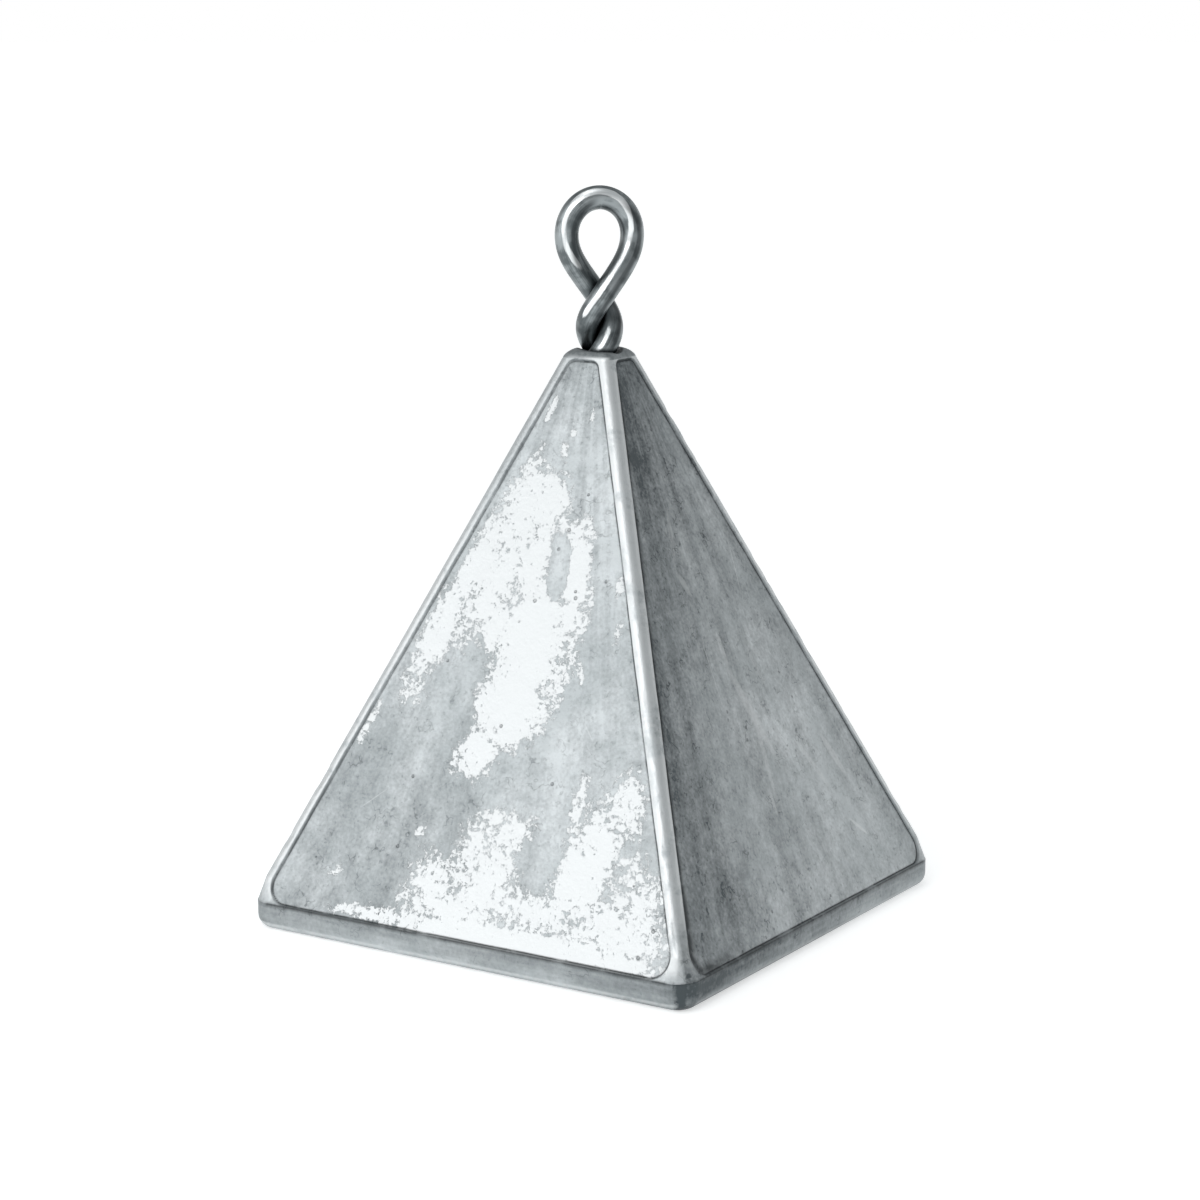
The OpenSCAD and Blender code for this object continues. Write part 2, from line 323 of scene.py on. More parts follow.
lead = {
    # sizes in mm
    "width": (castBox[1][0] - castBox[0][0]) / mm,
    "band": 1.8,
    "topWidth": 3.25,
    "edgeRadius": 0.7,
    "cornerRadius": 1.5,
    "footRadius": 0.9,
    "shoulderRadius": 1.0,
    "panelDepth": 0.12,
    "panelSideLip": 0.12,
    "panelFootLip": 0.05,
    "panelLowRadius": 1.3,
    "panelTopRadius": 0.65,
    # where a panel's step runs, counted inwards from its outline, and the groove at its foot
    "panelStep": (-0.01, 0.1),
    "grooveInset": 0.1,
    "grooveDepth": 0.04,
    "grooveWidth": 0.055,
    # dirt and painted shade in the crease where the faces meet the band: half width and darkness
    "creaseDirtAndShade": (0.09, 0.81),
    "recessWidth": 2.5,
    "recessLength": 3.48,
    "recessDepth": 0.55,
    "rimLip": 0.03,
    "gateRadius": 4.2,
    "gateDepth": 0.22,
    # unevenness of the pour, as how far it goes to either side and its feature size; the recess rim's
    # and the gate scar's go by shares of their own size
    "wave": (0.0175, 7.0),
    "ripple": (0.006, 2.2),
    "rippleShift": (11.0, 4.4, 19.8),
    "topWave": (0.01, 0.9),
    "borderWander": (0.025, 1.81818),
    "floorGrain": (0.03, 0.4545),
    "rimWander": (0.03, 0.76923),
    "gateGrain": (0.275, 0.7143),
    # small dents along the slanted edges: how many, least and most size and depth, and how far they
    # stay from the base and the top
    "nicks": 26,
    "nickSize": (0.35, 0.9),
    "nickDepth": (0.02, 0.07),
    "nickMargin": 3,
    "seed": 11,
    # the mesh: stops across half a face from the edge inwards and up its foot, close together where the
    # panel's border runs, and its counts of steps
    "borderStops": (0.0, 0.04, 0.08, 0.12, 0.155, 0.19, 0.22, 0.25, 0.29, 0.34, 0.42, 0.52, 0.65, 0.8, 0.95,
                    1.1, 1.3, 1.5, 1.8),
    "footStops": (0.03, 0.06, 0.09, 0.12, 0.15, 0.18, 0.21, 0.24, 0.27, 0.31, 0.36, 0.43, 0.52),
    "innerSteps": 30,
    "arcSteps": 10,
    "footSteps": 9,
    # rings of the base outwards and of the top inwards, as shares of the way, and of the recess, as
    # shares of its rim's width and of its depth
    "baseRings": (0.06, 0.12, 0.18, 0.22, 0.245, 0.26, 0.28, 0.34, 0.44, 0.56, 0.68, 0.8, 0.9, 0.96),
    "topRings": (0.06, 0.13, 0.2, 0.28, 0.36, 0.45, 0.54, 0.63, 0.72, 0.8, 0.87, 0.92, 0.96, 0.985, 1.0),
    "recessRings": ((0.985, 0.12), (0.965, 0.3), (0.94, 0.5), (0.9, 0.68), (0.83, 0.82), (0.72, 0.92),
                    (0.55, 0.98), (0.3, 1.0)),
    # rubbed patches: face number, place across, height, half width, half height, lean to the right and
    # strength (face 3 looks to the front left, 0 to the front right, 1 and 2 to the back); one of
    # strength below zero keeps its grey skin
    "patches": (
        (3, -1.9, 27.4, 1.9, 2.6, 14, 0.84), (3, -0.3, 27.3, 1.7, 2.2, 0, 0.82),
        (3, -1.9, 29.6, 0.8, 1.3, 12, 0.68), (3, -2.9, 23.4, 2.6, 5.0, 17, 0.84),
        (3, -4.6, 23.4, 1.0, 3.8, 24, 0.98), (3, -4.1, 25.6, 0.7, 0.8, 20, 0.8),
        (3, 2.0, 25.2, 0.7, 0.8, 0, 0.8), (3, -2.2, 19.8, 0.9, 2.0, 5, 0.88),
        (3, 2.8, 20.8, 1.1, 1.6, 0, 0.85), (3, -2.8, 12.0, 0.8, 1.2, 10, 0.7),
        (3, -6.3, 19.4, 1.3, 3.6, 20, 0.9), (3, -7.4, 15.9, 1.2, 1.5, 20, 0.6),
        (3, 0.5, 19.2, 2.7, 4.2, 8, 1.05), (3, -0.5, 23.8, 1.2, 2.8, 5, 0.95),
        (3, 2.8, 23.6, 1.0, 3.0, -3, 1.02), (3, 3.9, 20.5, 0.6, 2.6, 0, 0.62),
        (3, 3.1, 17.2, 0.8, 3.4, 8, 0.7), (3, 1.8, 26.1, 1.1, 0.5, -10, 0.8),
        (3, 0.0, 15.4, 2.5, 2.6, 10, 1.05), (3, -1.4, 12.7, 1.5, 2.0, 15, 0.88),
        (3, 6.0, 22.9, 0.4, 0.8, 0, 0.62), (3, 6.6, 20.0, 0.4, 1.0, 0, 0.5),
        (3, 4.6, 17.7, 0.22, 1.0, -6, 0.75), (3, -1.6, 32.8, 0.3, 1.1, 14, 0.66),
        (3, 1.5, 32.6, 0.2, 0.6, 0, 0.8), (3, 0.4, 31.6, 0.25, 0.3, 0, 0.8),
        (3, 0.0, 30.5, 0.35, 0.5, 8, 0.75), (3, -10.1, 13.2, 0.35, 1.7, 21, 0.66),
        (3, -10.0, 4.4, 0.35, 0.35, 0, 0.9), (3, -4.3, 7.5, 0.4, 0.3, 0, 0.9),
        (3, 8.3, 7.9, 1.7, 3.6, 4, 0.86), (3, 9.6, 10.3, 1.4, 2.6, 0, 0.76),
        (3, 6.3, 10.6, 0.6, 2.2, 3, 0.85), (3, 7.4, 6.4, 2.0, 2.5, 0, 0.95),
        (3, 1.5, 5.2, 2.1, 3.0, 10, 0.84), (3, 2.6, 8.3, 1.8, 1.5, 0, 0.84),
        (3, -0.4, 7.2, 1.5, 1.9, 10, 0.72), (3, 0.7, 9.0, 1.0, 0.8, 0, 0.7),
        (3, -1.2, 5.6, 1.2, 0.9, 0, 0.75), (3, -2.6, 5.0, 2.3, 1.9, 20, 0.7),
        (3, 3.6, 2.4, 11.6, 0.9, 0, 1.0), (3, 11.2, 7.3, 1.3, 1.8, -15, 0.6),
        (3, 10.5, 4.0, 4.4, 1.7, 0, 0.8), (3, 11.9, 5.4, 2.2, 2.5, -20, 0.74),
        (3, -1.9, 3.6, 3.4, 1.0, 0, 0.82), (3, 5.0, 4.1, 3.2, 1.3, 0, 0.82),
        (3, -7.0, 2.4, 3.6, 0.5, 0, 0.7), (3, 1.45, 23.4, 0.6, 1.8, 3, -1.1),
        (3, 4.3, 7.4, 1.2, 1.6, 0, -0.6),
        (2, 2.0, 25.0, 1.5, 3.6, -14, 0.78), (2, 1.0, 20.6, 2.5, 3.8, -18, 0.9),
        (2, -0.8, 16.4, 1.9, 3.2, -10, 0.8), (2, 4.3, 18.2, 1.0, 3.2, -24, 0.64),
        (2, -3.2, 13.0, 0.9, 1.8, 20, 0.62), (2, 8.6, 12.0, 0.4, 1.8, -24, 0.62),
        (2, -2.4, 6.6, 2.0, 3.2, 10, 0.74), (2, -6.2, 4.2, 4.2, 1.7, -10, 0.74),
        (2, 3.4, 2.6, 8.4, 0.7, 0, 0.9), (2, 9.2, 5.4, 2.3, 2.8, -18, 0.78),
        (2, -11.0, 2.6, 3.0, 0.7, 0, 0.66), (2, 3.4, 5.0, 2.0, 1.6, 0, 0.6),
        (1, -1.2, 23.6, 1.3, 3.6, 14, 0.74), (1, -2.8, 18.4, 2.1, 4.2, 18, 0.86),
        (1, -5.2, 13.8, 1.5, 2.8, 24, 0.7), (1, 1.6, 19.4, 0.7, 2.4, -6, 0.62),
        (1, 5.4, 6.8, 2.4, 3.6, -12, 0.82), (1, 8.8, 4.0, 4.4, 1.6, -8, 0.76),
        (1, 1.0, 2.6, 6.4, 0.7, 0, 0.82), (1, 2.2, 11.6, 0.9, 2.6, -16, 0.66),
        (1, -9.4, 4.2, 2.6, 1.9, 14, 0.7),
    ),
    # soft light smears on the grey skin, in the same order
    "smears": (
        (0, 0.8, 13.5, 0.9, 6.0, 6, 0.16), (0, 3.6, 12.0, 0.8, 5.0, 12, 0.14),
        (0, -2.4, 9.0, 0.8, 4.0, -4, 0.12), (0, 6.4, 9.5, 0.9, 4.5, 18, 0.12),
        (0, 9.4, 5.5, 2.4, 1.6, -60, 0.1), (0, 2.0, 4.2, 3.0, 1.0, 0, 0.08),
        (0, -8.4, 4.6, 3.0, 3.0, 0, -0.14), (0, 3.6, 8.2, 1.6, 2.2, -10, 0.08),
        (1, 1.5, 14.0, 1.0, 6.0, 6, 0.14), (1, 5.0, 10.0, 0.9, 4.0, 14, 0.12),
        (2, -3.0, 11.0, 1.0, 5.0, -8, 0.12),
    ),
}
half = lead["width"] / 2
lean = math.atan((half - lead["topWidth"] / 2) / (castHeight - lead["band"]))
shoulderZ = castHeight - lead["shoulderRadius"]


def faceX(z):
    # distance of a face's plane from the axis at a height
    return half - (z - lead["band"]) * math.tan(lean)


shoulderX = faceX(shoulderZ) - lead["shoulderRadius"] / math.cos(lean)
faceTopZ = shoulderZ + lead["shoulderRadius"] * math.sin(lean)
panelTop = (faceTopZ - lead["band"]) / math.cos(lean)


def cornerRadiusAt(z):
    run = (z - lead["band"]) / lead["cornerRadius"]
    return lerp(lead["cornerRadius"], lead["edgeRadius"], min(1.0, max(0.0, run)))


def panelX(up):
    return faceX(lead["band"] + up * math.cos(lean)) - lead["edgeRadius"] - lead["panelSideLip"]


def panelOutline():
    # each corner of a face's panel, with the middle of its arc and the ways to its neighbours
    low = lead["panelFootLip"]
    corners = [Vector((-panelX(low), low)), Vector((panelX(low), low)),
               Vector((panelX(panelTop), panelTop)), Vector((-panelX(panelTop), panelTop))]
    radii = [lead["panelLowRadius"]] * 2 + [lead["panelTopRadius"]] * 2
    result = []
    for i, corner in enumerate(corners):
        back = (corners[i - 1] - corner).normalized()
        ahead = (corners[(i + 1) % 4] - corner).normalized()
        openHalf = math.acos(back.dot(ahead)) / 2
        mid = corner + (back + ahead).normalized() * radii[i] / math.sin(openHalf)
        inward = Vector((-ahead.y, ahead.x))
        result.append((corner, mid, radii[i], back, ahead, inward))
    return result


outline = panelOutline()


def insidePanel(across, up):
    # distance inside the panel's outline, below zero outside it
    p = Vector((across, up))
    for corner, mid, radius, back, ahead, inward in outline:
        away = p - mid
        if away.dot(back) < 0 and away.dot(ahead) < 0:
            return radius - away.length
    return min((p - corner).dot(inward) for corner, mid, radius, back, ahead, inward in outline)


def sectionPoints(halfWidth, radius):
    # one level of the casting: (x, y, angle of the outward way, face number, place across the face)
    flat = halfWidth - radius
    # the border's stops draw together where a face is narrow
    shrink = min(1.0, flat / 2.4)
    edge = [s * shrink for s in lead["borderStops"]]
    inner = spread(-flat + edge[-1], flat - edge[-1], 2 * (flat - edge[-1]) / lead["innerSteps"])
    stops = [-flat + s for s in edge[1:]] + inner[1:-1] + [flat - s for s in reversed(edge[1:])]
    ring = []
    for k in range(4):
        cx = flat * (1 if k in (0, 3) else -1)
        cy = flat * (1 if k < 2 else -1)
        for i in range(lead["arcSteps"] + 1):
            turn = math.radians(90 * (k + i / lead["arcSteps"]))
            x = cx + radius * math.cos(turn)
            y = cy + radius * math.sin(turn)
            face = (k + (1 if i > lead["arcSteps"] / 2 else 0)) % 4
            side = math.radians(90 * face)
            ring.append((x, y, turn, face, y * math.cos(side) - x * math.sin(side)))
        face = (k + 1) % 4
        side = math.radians(90 * face)
        for s in stops:
            x = halfWidth * math.cos(side) - s * math.sin(side)
            y = halfWidth * math.sin(side) + s * math.cos(side)
            ring.append((x, y, side, face, s))
    return ring


def topHeight(x, y):
    # height of the rounded top over a place near the axis
    ax, ay, r = abs(x), abs(y), lead["edgeRadius"]
    size = max(ax, ay)
    mid = ((ax + ay) - math.sqrt(max(0.0, (ax + ay) ** 2 - 2 * (ax * ax + ay * ay - r * r)))) / 2
    if mid > 0 and min(ax, ay) > mid:
        size = mid + r
    out = min(1.0, max(0.0, (size - shoulderX) / lead["shoulderRadius"]))
    return shoulderZ + lead["shoulderRadius"] * math.sqrt(1 - out * out)


def ovalAt(oval, across, z):
    # distance from an oval's middle, 1 on its rim
    a, h, wide, tall, tilt = oval
    turn = math.radians(tilt)
    dx, dz = across - a, z - h
    u = (dx * math.cos(turn) - dz * math.sin(turn)) / wide
    v = (dx * math.sin(turn) + dz * math.cos(turn)) / tall
    return math.hypot(u, v)


def wornAt(face, across, z):
    # how strongly a place is rubbed bright, from the strongest patch there
    best, cleared = -0.2, 0.0
    for number, *oval, strength in lead["patches"]:
        if number != face:
            continue
        # a little over its strength in a patch's middle, and half of it on the rim
        value = strength * (1.25 - 0.75 * ovalAt(oval, across, z) ** 2)
        if strength > 0:
            best = max(best, value)
        else:
            cleared = min(cleared, value)
    return best + cleared


def darkAt(face, across, z):
    # how heavy the grey tarnish and painted shade are
    lighter = sum(strength * math.exp(-ovalAt(oval, across, z) ** 2)
                  for number, *oval, strength in lead["smears"] if number == face)
    return plainDark(face, across, z) - lighter


def plainDark(face, across, z):
    # the same without the smears: heavier towards the apex and beside each face's left edge, and on face 3
    # low on the left; the darkening beside the left edges is painted shade, and face 0, which looks away
    # from the lamps, is painted darker overall as shade, less so low on its right
    level = smooth(14, 35, z)
    reach = max(0.5, faceX(z) - lead["edgeRadius"])
    fromLeft = across + reach
    if face == 3:
        return 0.12 + 0.22 * smooth(30, 35, z) + 0.22 * smooth(0.5, -0.7, across / reach) * smooth(20, 8, z)
    if face == 0:
        right = smooth(-0.1, 0.7, across / reach) * smooth(24, 12, z)
        left = math.exp(-(fromLeft / lerp(5.2, 3.4, smooth(12, 26, z))) ** 2)
        rim = math.exp(-((reach - across) / 3) ** 2) * smooth(24, 16, z)
        return 0.41 + 0.18 * level + lerp(0.42, 0.34, level) * left - 0.2 * right + 0.12 * rim
    return (0.26, 0.2)[face - 1] + 0.24 * level + 0.16 * math.exp(-(fromLeft / 4.5) ** 2) * (1 - level)


def bandDark(face, across, z, corner):
    # the tarnish of the upright band, with painted shade: heavier towards its upper edge under the faces,
    # at the front corner, and over all of face 0's band, which looks away from the lamps
    darkness = lerp(0.25, 0.5, smooth(0.3, lead["band"], z))
    if face == 0:
        return darkness + 0.38 + 0.22 * smooth(-6, -14, across) - 0.22 * smooth(-3, 9, across)
    if face == 3:
        darkness += 0.28 * smooth(3, 15, across) + 0.1 * smooth(-10, -15, across)
    return darkness + 0.6 * corner


def wearAndHighlightAt(turn, x, y, z):
    # how bright an edge is: worn, with a painted highlight brightest on the side that faces -Y, towards the
    # lamps, and dull towards the band and the top
    dull = lerp(0.1, 0.82 if x > 0 else 0.5, smooth(lead["band"] + 0.3, lead["band"] + 5, z))
    dull -= 0.0 if x > 0 > y else 0.2 * smooth(25, 32, z)
    worked = 1.0 if x > 0 else lerp(1.0, 0.4, smooth(23, 28, z))
    return lerp(dull, worked, smooth(0.75, 0.87, -math.sin(turn)))


def uneven(name, p):
    # one kind of unevenness at a place, between minus and plus its depth
    depth, size = lead[name]
    return depth * noise.noise(p / size)


def castingLevels():
    # heights of the rings up the foot, the band and the faces, with half width and corner radius
    levels = []
    for i in range(lead["footSteps"] + 1):
        turn = math.radians(90 * i / lead["footSteps"])
        rise = lead["footRadius"] * (1 - math.cos(turn))
        inset = lead["footRadius"] * (1 - math.sin(turn))
        levels.append((rise, half - inset, lead["cornerRadius"] - inset))
    band = lead["band"]
    for z in spread(lead["footRadius"], band - 0.06, 0.16)[1:] + [band - 0.03, band]:
        levels.append((z, half, lead["cornerRadius"]))
    # up the slope: the panel's foot, the long middle, and the panel's top
    ups = [*lead["footStops"], *spread(0.62, 1.9, 0.11), *spread(2.1, panelTop - 1.3, 0.36)]
    ups += spread(panelTop - 1.2, panelTop - 0.4, 0.08) + spread(panelTop - 0.36, panelTop, 0.03)
    for up in ups:
        z = band + up * math.cos(lean)
        levels.append((z, faceX(z), cornerRadiusAt(z)))
    return levels


def makeCasting():
    points, worn, tarnishAndShade, grooveDirtAndShade, wearAndHighlight, uv = [], [], [], [], [], []
    dice = random.Random(lead["seed"])
    nicks = []
    for _ in range(lead["nicks"]):
        # height, which edge, size and depth
        nicks.append((dice.uniform(lead["nickMargin"], castHeight - lead["nickMargin"]), dice.randrange(4),
                      dice.uniform(*lead["nickSize"]), dice.uniform(*lead["nickDepth"])))

    def add(p, wornValue, darkValue, grooveDirtAndShadeValue, wearAndHighlightValue, fan=(0.0, 0.0)):
        # fan is the place across the faces, counted on round the casting, and the way up the slope in mm
        points.append(tuple(p))
        uv.append(fan)
        worn.append(wornValue)
        tarnishAndShade.append(darkValue)
        grooveDirtAndShade.append(grooveDirtAndShadeValue)
        wearAndHighlight.append(wearAndHighlightValue)

    levels = castingLevels()
    footRing = sectionPoints(levels[0][1], levels[0][2])
    ringSize = len(footRing)

    # flat base, with the rough round scar where the pouring gate was cut off
    add((0, 0, lead["gateDepth"]), 0.3, 0.4, 0, 0)
    for share in lead["baseRings"]:
        for x, y, turn, face, across in footRing:
            # the inner rings are round and the outer ones square
            p = Vector((x, y, 0)) * share
            p = p.lerp(p.normalized() * (share * half), smooth(0.5, 0.24, share))
            scar = smooth(lead["gateRadius"], lead["gateRadius"] - 0.5, p.length)
            lift = scar * lead["gateDepth"] * (1 - lead["gateGrain"][0] + uneven("gateGrain", p))
            add((p.x, p.y, lift), 0.55 * scar, 0.45, 2 * scar * (1 - scar), 0)

    # foot, band and faces
    for z, halfWidth, radius in levels:
        onFace = z > lead["band"]
        slope = lean if onFace else 0.0
        up = (z - lead["band"]) / math.cos(lean)
        flat = halfWidth - radius
        for x, y, turn, face, across in sectionPoints(halfWidth, radius):
            p = Vector((x, y, z))
            arc = smooth(0, 0.25, abs(across) - flat)
            depth = 0.0
            line = 0.0
            if onFace:
                inside = insidePanel(across, up) + uneven("borderWander", p) if arc == 0 else -1.0
                line = math.exp(-((inside - lead["grooveInset"]) / lead["grooveWidth"]) ** 2)
                depth += lead["panelDepth"] * smooth(*lead["panelStep"], inside)
                depth += lead["grooveDepth"] * line
                # the groove's dirt is thin on the far left; beside the front edge a wider dark band is
                # added, a painted shadow of the edge
                if face == 3 and across < 0:
                    line *= lerp(0.9, 0.6, smooth(4, 12, z))
                if face == 0 and across < 0:
                    thick = lerp(0.2, 0.34, smooth(9, 3, z))
                    beside = math.exp(-((inside - thick) / thick) ** 2)
                    line = max(line, beside * smooth(-0.5, -1.0, across / flat))
            # the waves only go inwards, and are shallower on the band
            wave = lead["wave"][0] + uneven("wave", p)
            wave += lead["ripple"][0] + uneven("ripple", p + Vector(lead["rippleShift"]))
            depth += wave * smooth(0, 0.3, z) * (1.0 if onFace else 0.35)
            corner = int(math.degrees(turn) // 90) % 4
            for height, edge, size, deep in nicks:
                if onFace and arc > 0.5 and edge == corner and abs(z - height) < size:
                    depth += deep * smooth(size, 0, abs(z - height)) * arc
            flatWay = Vector((math.cos(turn), math.sin(turn), 0)) * math.cos(slope)
            p -= (flatWay + Vector((0, 0, math.sin(slope)))) * depth
            creaseDirtAndShade = math.exp(-((z - lead["band"]) / lead["creaseDirtAndShade"][0]) ** 2) * (1 - 0.75 * arc)
            # the band's front corner is painted darker, as shade
            frontCorner = arc * smooth(0.97, 0.8, -math.sin(turn)) if x > 0 > y else 0.15 * arc
            darkness = darkAt(face, across, z) if onFace else bandDark(face, across, z, frontCorner)
            border = smooth(0.02, -0.06, inside) if onFace else 0.0
            # the panels' borders and the edges are worn bright, with a painted highlight
            edgeWearAndHighlight = border * wearAndHighlightAt(turn, x, y, z) * smooth(lead["band"], lead["band"] + 1.0, z)
            # a painted highlight along the foot, strongest on face 3, which faces the lamps
            footHighlight = (0.65 if face == 3 else 0.2) * smooth(0.16, 0.04, abs(z - 0.4)) * (1 - frontCorner)
            add(p, wornAt(face, across, z) if onFace and arc == 0 else -1.0,
                darkness * (1 - 0.8 * edgeWearAndHighlight), max(line, lead["creaseDirtAndShade"][1] * creaseDirtAndShade),
                max(edgeWearAndHighlight, footHighlight),
                (2 * ((face + 1) % 4) + max(-1.0, min(1.0, across / halfWidth)), up))

    # rounded shoulder and flat top, in to the rim of the recess
    outer = sectionPoints(faceX(faceTopZ), lead["edgeRadius"])
    axisTurn = wireTurn(0) + math.radians(wire["partingAngle"] - 90)
    rim = []
    for x, y, turn, face, across in outer:
        way = math.atan2(y, x) - axisTurn
        long = lead["recessLength"] / 2 * math.sin(way)
        wide = lead["recessWidth"] / 2 * math.cos(way)
        spot = Matrix.Rotation(axisTurn, 2) @ Vector((wide, long))
        rim.append(spot * (1 + uneven("rimWander", spot.to_3d())))
    for share in lead["topRings"]:
        for (x, y, turn, face, across), spot in zip(outer, rim):
            flat = Vector((x, y)).lerp(spot, share)
            wave = lead["topWave"][0] + uneven("topWave", Vector((flat.x, flat.y, 3)))
            lip = lead["rimLip"] * smooth(0.9, 1.0, share)
            # a painted highlight on the shoulder above face 3, on the side towards the lamps
            shoulderWearAndHighlight = smooth(0.26, 0.14, share) * smooth(0.4, 0.75, -math.sin(turn))
            shoulderWearAndHighlight = 0.1 + 0.9 * shoulderWearAndHighlight * lerp(0.3, 1.0, smooth(-0.3, 1.0, x))
            # the darkening near the recess's rim is painted shade
            add((flat.x, flat.y, topHeight(flat.x, flat.y) - wave - lip), -1.0, 0.75,
                0.85 * smooth(0.7, 0.88, share), shoulderWearAndHighlight)

    # down into the recess, painted darker as it deepens, as shade
    floor = castHeight - lead["recessDepth"]
    for share, deep in lead["recessRings"]:
        for spot in rim:
            flat = spot * share
            start = topHeight(spot.x, spot.y) - lead["rimLip"]
            height = lerp(start, floor, deep) + uneven("floorGrain", flat.to_3d()) * deep
            add((flat.x, flat.y, height), 0.0, 0.6 + 0.3 * deep, smooth(0, 0.7, deep), 0.0)
    add((0, 0, floor), 0.0, 1.0, 1.0, 0.0)

    rings = (len(points) - 2) // ringSize
    last = len(points) - 1
    faces = []
    for i in range(ringSize):
        nextI = (i + 1) % ringSize
        faces.append((0, 1 + nextI, 1 + i))
        for r in range(rings - 1):
            a, b = 1 + r * ringSize, 1 + (r + 1) * ringSize
            faces.append((a + i, a + nextI, b + nextI, b + i))
        top = 1 + (rings - 1) * ringSize
        faces.append((top + i, top + nextI, last))
    attributes = {"worn": worn, "tarnishAndShade": tarnishAndShade, "grooveDirtAndShade": grooveDirtAndShade, "wearAndHighlight": wearAndHighlight}
    return meshObject("castLeadBody", points, faces, attributes, uv)


casting = makeCasting()
print("casting made,", len(casting.data.vertices), "points")


# Materials

def newMaterial(name):
    material = bpy.data.materials.new(name)
    material.use_nodes = True
    material.node_tree.nodes.clear()
    return material, material.node_tree


# settings of a Map Range node that eases in and out
eased = {"interpolation_type": "SMOOTHSTEP"}

castLeadFinish = {
    "plain": "#bac0c2",
    "pale": "#d2d7d9",
    "tarnishAndShadeColour": "#4d5457",
    "rubbed": "#dbdedf",
    # edge is the colour of the worn edges with their painted highlight, and of the scratches
    "edge": "#dbdedf",
    # the tarnish colour also carries the painted shade
    "pit": "#4a4f51",
    # grooveDirtAndShade: dirt in the grooves, painted shade beside the front edge and in the recess
    "grooveDirtAndShade": "#25292b",
    "metallic": 0.75,
    "roughness": 0.5,
    "rubbedRoughness": 0.36,
    # each noise's feature size in mm, detail and roughness; the real skin's grain is under 0.1 mm,
    # so fine and skin are drawn coarser than it, to show
    "noises": {
        "cloud": (5.0, 6, 0.6),
        "flake": (2.4, 9, 0.72),
        "flow": (2.2, 3, 0.6),
        "smudge": (1.6, 5, 0.6),
        "mottle": (0.9, 4, 0.65),
        "speck": (0.42, 6, 0.8),
        "fine": (0.3, 3, 0.6),
        "skin": (0.22, 3, 0.5),
    },
    # how far each noise moves the tarnish and painted shade, then how dark the flow lines, the grains and
    # the pits are
    "shades": {"smudge": 0.5, "cloud": 0.35, "mottle": 0.65, "skin": 0.6, "fan": 1.15},
    "marks": {"flowLine": 0.3, "grains": 0.22},
    "pitShade": 0.45,
    "tarnishAndShadeRange": 1.1,
    "bandCalm": 0.4,
    # how far each noise moves the ragged edge of the rubbed patches
    "flakes": {"flake": 1.25, "speck": 3.4},
    "flakeEdge": (0.565, 0.59),
    # casting pits are about 0.05 mm across, drawn as about 0.23 mm so that they show: their spacing, and
    # the distances from a middle at which one starts and is full
    "pitSpacing": 1.3,
    "pitEdge": (0.143, 0.091),
    # where each mask starts and where it is full, on the noise or the measure that it is made from
    "masks": {
        "cloudy": {"From Min": 0.35, "From Max": 0.65},
        "pitted": {"From Min": 0.5, "From Max": 0.56},
        "flowLine": {"From Min": 0.012, "From Max": 0.003},
        "flowPlace": {"From Min": 0.5, "From Max": 0.6},
        "grains": {"From Min": 0.58, "From Max": 0.7},
        "dirtAndShade": {"From Min": 0.38, "From Max": 0.5, "To Min": 0.6, "To Max": 0.95},
        "edge": {"From Min": 0.3, "From Max": 0.5},
    },
    # streaks down each face in mm: their width at its foot, from which they narrow to the apex, and length
    "streak": (2.7, 20),
    # level strokes along the band in mm: their length and height
    "bandStroke": (5.0, 0.4545),
    # heights of the bump, in mm
    "heights": {"skin": 0.012, "smudge": 0.05, "pit": -0.06, "bright": -0.012},
    # scratches and scuffs: face number, place across, height, half length, lean to the right,
    # half width and strength; each is a lens this deep
    "lensDepth": 0.5,
    "scratches": (
        (0, 0.6, 14.3, 4.1, -17, 0.5, 0.32), (0, 8.4, 10.1, 2.2, -25, 0.4, 0.36),
        (0, -0.4, 8.9, 1.1, 3, 0.2, 0.3), (0, 3.0, 16.5, 2.0, -14, 0.26, 0.18),
        (0, -1.5, 25.3, 2.3, 20, 0.3, 0.16), (0, 8.5, 5.5, 1.4, -48, 0.16, 0.5),
        (0, 4.5, 22.6, 2.4, 10, 0.06, 0.35), (0, -2.2, 17.0, 2.6, 3, 0.05, 0.35),
        (3, -8.4, 9.0, 1.4, 50, 0.05, 0.35), (3, 6.0, 14.6, 0.9, -40, 0.05, 0.4),
        (1, 2.5, 16.0, 3.2, 8, 0.3, 0.2), (1, -6.0, 8.0, 1.8, -25, 0.06, 0.4),
        (2, -2.5, 19.0, 2.6, -6, 0.06, 0.4), (2, 6.5, 10.0, 1.5, 35, 0.06, 0.4),
        (0, 0.5, 11.9, 4.3, 8, 0.3, 0.24), (0, -1.9, 22.4, 1.0, -20, 0.35, 0.26),
        (0, -0.2, 18.1, 1.6, 1, 0.3, 0.24), (0, 5.7, 9.9, 2.8, -30, 0.3, 0.24),
    ),
}


